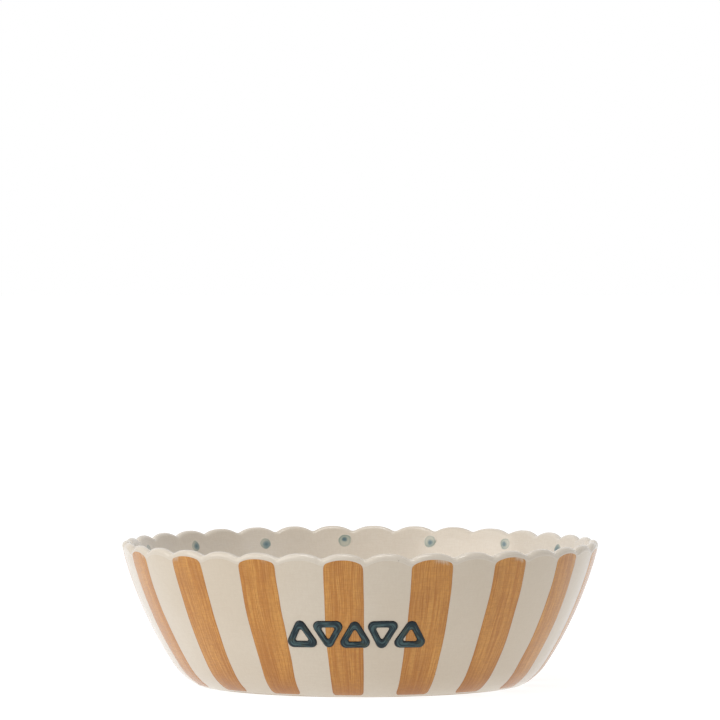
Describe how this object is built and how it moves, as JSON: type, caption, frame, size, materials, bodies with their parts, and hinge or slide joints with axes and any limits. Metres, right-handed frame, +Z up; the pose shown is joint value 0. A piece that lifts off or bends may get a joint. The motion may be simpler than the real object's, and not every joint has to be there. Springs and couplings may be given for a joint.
{
  "type": "chip bowl",
  "caption": "Round glazed stoneware serving bowl with a scalloped rim, painted stripes outside, painted dots inside, and a row of small raised marks on the front.",
  "frame": {"origin": "middle of the foot ring, on the plane the bowl stands on", "axes": "+Z up out of the bowl, -Y towards the front with the raised marks, +X to the right seen from the front"},
  "size_m": [0.254, 0.2538, 0.077],
  "materials": {
    "fired_clay": "glossy clear glaze over the lip, bare satin clay on the foot ring",
    "cream_glaze": "glossy cream glaze with fine crackle and specks",
    "ochre_slip": "brushed ochre slip under clear gloss glaze",
    "blue_green_dots": "thin blue-green brush dots under clear gloss glaze",
    "dark_teal_marks": "raised dark teal marks under clear gloss glaze"
  },
  "bodies": {
    "root": {"stoneware_body": "fired_clay", "outer_glaze": "cream_glaze", "inner_glaze": "cream_glaze", "stripe_01": "ochre_slip", "stripe_02": "ochre_slip", "stripe_03": "ochre_slip", "stripe_04": "ochre_slip", "stripe_05": "ochre_slip", "stripe_06": "ochre_slip", "stripe_07": "ochre_slip", "stripe_08": "ochre_slip", "stripe_09": "ochre_slip", "stripe_10": "ochre_slip", "stripe_11": "ochre_slip", "stripe_12": "ochre_slip", "stripe_13": "ochre_slip", "stripe_14": "ochre_slip", "stripe_15": "ochre_slip", "stripe_16": "ochre_slip", "stripe_17": "ochre_slip", "floor_dot_centre": "blue_green_dots", "floor_dots_ring_1": "blue_green_dots", "floor_dots_ring_2": "blue_green_dots", "floor_dots_ring_3": "blue_green_dots", "floor_dots_ring_4": "blue_green_dots", "wall_dots_row_1": "blue_green_dots", "wall_dots_row_2": "blue_green_dots", "wall_dots_row_3": "blue_green_dots", "wall_dots_row_4": "blue_green_dots", "front_mark_1": "dark_teal_marks", "front_mark_2": "dark_teal_marks", "front_mark_3": "dark_teal_marks", "front_mark_4": "dark_teal_marks", "front_mark_5": "dark_teal_marks"}
  },
  "joints": []
}
